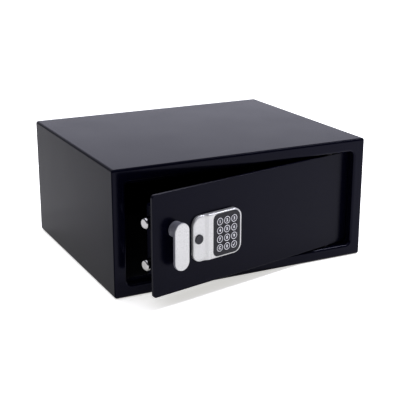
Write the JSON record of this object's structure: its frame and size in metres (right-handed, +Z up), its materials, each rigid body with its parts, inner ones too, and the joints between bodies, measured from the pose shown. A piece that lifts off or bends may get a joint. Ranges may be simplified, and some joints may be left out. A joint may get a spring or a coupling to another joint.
{
  "type": "laptop safe",
  "caption": "Steel laptop safe with a recessed hinged door, lever handle, sliding bolts, keypad with press keys and an emergency lock behind a round disc.",
  "frame": {"origin": "middle of the body's underside, on the surface it stands on", "axes": "+X to the right of someone facing the door, +Y towards the back, +Z up; the door stands 12.2 degrees open at rest"},
  "size_m": [0.43, 0.4289, 0.195],
  "materials": {
    "powder_coat": "fine black powder coat, satin",
    "zinc_steel": "zinc plated, dull",
    "chrome": "polished",
    "satin_silver": "satin silver paint on plastic",
    "panel": "satin dark grey",
    "key_rubber": "matt, with a printed ring and figure",
    "black_plastic": "satin moulded",
    "disc": "semi gloss",
    "nylon": "moulded",
    "felt": "needle felt",
    "brass": "turned",
    "board": "solder mask",
    "cell": "printed jacket, no lettering",
    "red_plastic": "moulded"
  },
  "bodies": {
    "case": {"body_shell": "powder_coat", "back_panel": "powder_coat", "front_frame": "powder_coat", "stop_strip_top": "powder_coat", "stop_strip_bottom": "powder_coat", "hinge_pin_top": "zinc_steel", "hinge_pin_bottom": "zinc_steel", "hinge_washer_top": "nylon", "hinge_washer_bottom": "nylon", "floor_mat": "felt", "anchor_plug_left": "black_plastic", "anchor_plug_right": "black_plastic"},
    "door": {"door_plate": "powder_coat", "knuckle_top": "powder_coat", "knuckle_bottom": "powder_coat", "bolt_guide": "zinc_steel", "inner_cover": "powder_coat", "cover_screw_1": "zinc_steel", "cover_screw_2": "zinc_steel", "cover_screw_3": "zinc_steel", "cover_screw_4": "zinc_steel", "keypad_housing": "satin_silver", "keypad_panel": "panel", "keypad_board": "board", "handle_bush": "nylon", "lock_cylinder": "brass", "solenoid_body": "zinc_steel", "control_board": "board", "battery_holder": "black_plastic", "battery_1": "cell", "battery_2": "cell", "battery_3": "cell", "battery_4": "cell", "wiring": "black_plastic"},
    "handle": {"handle_lever": "black_plastic", "handle_face": "satin_silver", "handle_crank": "zinc_steel", "spindle_nut": "zinc_steel"},
    "bolt_work": {"bolt_carriage": "zinc_steel", "bolt_lower": "chrome", "bolt_upper": "chrome", "bolt_screw_lower": "zinc_steel", "bolt_screw_upper": "zinc_steel"},
    "disc": {"keyhole_disc": "disc"},
    "emergency_plug": {"lock_plug": "brass"},
    "plunger": {"solenoid_plunger": "zinc_steel"},
    "lid": {"battery_lid": "black_plastic"},
    "reset": {"reset_button": "red_plastic"},
    "button_1": {"key_1": "key_rubber"},
    "button_2": {"key_2": "key_rubber"},
    "button_3": {"key_3": "key_rubber"},
    "button_4": {"key_4": "key_rubber"},
    "button_5": {"key_5": "key_rubber"},
    "button_6": {"key_6": "key_rubber"},
    "button_7": {"key_7": "key_rubber"},
    "button_8": {"key_8": "key_rubber"},
    "button_9": {"key_9": "key_rubber"},
    "button_star": {"key_star": "key_rubber"},
    "button_0": {"key_0": "key_rubber"},
    "button_hash": {"key_hash": "key_rubber"}
  },
  "joints": [
    {"name": "door_hinge", "type": "hinge", "parent": "case", "child": "door", "pos_m": [0.1575, -0.1575, 0.097], "axis": [0, 0, 1], "range_deg": [-12.2, 97.8]},
    {"name": "handle_turn", "type": "hinge", "parent": "door", "child": "handle", "pos_m": [-0.1465, -0.23397, 0.1172], "axis": [-0.2113, 0.9774, 0], "range_deg": [0, 45]},
    {"name": "bolt_slide", "type": "slide", "parent": "door", "child": "bolt_work", "axis": [-0.9774, -0.2113, 0], "range_m": [0, 0.018]},
    {"name": "disc_pull", "type": "slide", "parent": "door", "child": "disc", "axis": [0.2113, -0.9774, 0], "range_m": [0, 0.012]},
    {"name": "emergency_turn", "type": "hinge", "parent": "door", "child": "emergency_plug", "pos_m": [-0.10799, -0.22565, 0.094], "axis": [-0.2113, 0.9774, 0], "range_deg": [-90, 0]},
    {"name": "plunger_travel", "type": "slide", "parent": "door", "child": "plunger", "axis": [0, 0, -1], "range_m": [0, 0.005], "stiffness_N_per_m": 500},
    {"name": "lid_pull", "type": "slide", "parent": "door", "child": "lid", "axis": [-0.2113, 0.9774, 0], "range_m": [0, 0.02]},
    {"name": "reset_press", "type": "slide", "parent": "door", "child": "reset", "axis": [0.2113, -0.9774, 0], "range_m": [0, 0.001], "stiffness_N_per_m": 400},
    {"name": "press_1", "type": "slide", "parent": "door", "child": "button_1", "axis": [-0.2113, 0.9774, 0], "range_m": [0, 0.0008], "stiffness_N_per_m": 400},
    {"name": "press_2", "type": "slide", "parent": "door", "child": "button_2", "axis": [-0.2113, 0.9774, 0], "range_m": [0, 0.0008], "stiffness_N_per_m": 400},
    {"name": "press_3", "type": "slide", "parent": "door", "child": "button_3", "axis": [-0.2113, 0.9774, 0], "range_m": [0, 0.0008], "stiffness_N_per_m": 400},
    {"name": "press_4", "type": "slide", "parent": "door", "child": "button_4", "axis": [-0.2113, 0.9774, 0], "range_m": [0, 0.0008], "stiffness_N_per_m": 400},
    {"name": "press_5", "type": "slide", "parent": "door", "child": "button_5", "axis": [-0.2113, 0.9774, 0], "range_m": [0, 0.0008], "stiffness_N_per_m": 400},
    {"name": "press_6", "type": "slide", "parent": "door", "child": "button_6", "axis": [-0.2113, 0.9774, 0], "range_m": [0, 0.0008], "stiffness_N_per_m": 400},
    {"name": "press_7", "type": "slide", "parent": "door", "child": "button_7", "axis": [-0.2113, 0.9774, 0], "range_m": [0, 0.0008], "stiffness_N_per_m": 400},
    {"name": "press_8", "type": "slide", "parent": "door", "child": "button_8", "axis": [-0.2113, 0.9774, 0], "range_m": [0, 0.0008], "stiffness_N_per_m": 400},
    {"name": "press_9", "type": "slide", "parent": "door", "child": "button_9", "axis": [-0.2113, 0.9774, 0], "range_m": [0, 0.0008], "stiffness_N_per_m": 400},
    {"name": "press_star", "type": "slide", "parent": "door", "child": "button_star", "axis": [-0.2113, 0.9774, 0], "range_m": [0, 0.0008], "stiffness_N_per_m": 400},
    {"name": "press_0", "type": "slide", "parent": "door", "child": "button_0", "axis": [-0.2113, 0.9774, 0], "range_m": [0, 0.0008], "stiffness_N_per_m": 400},
    {"name": "press_hash", "type": "slide", "parent": "door", "child": "button_hash", "axis": [-0.2113, 0.9774, 0], "range_m": [0, 0.0008], "stiffness_N_per_m": 400}
  ],
  "couplings": [
    {"joint": "bolt_slide", "follows": "handle_turn", "m_per_rad": 0.022918}
  ]
}
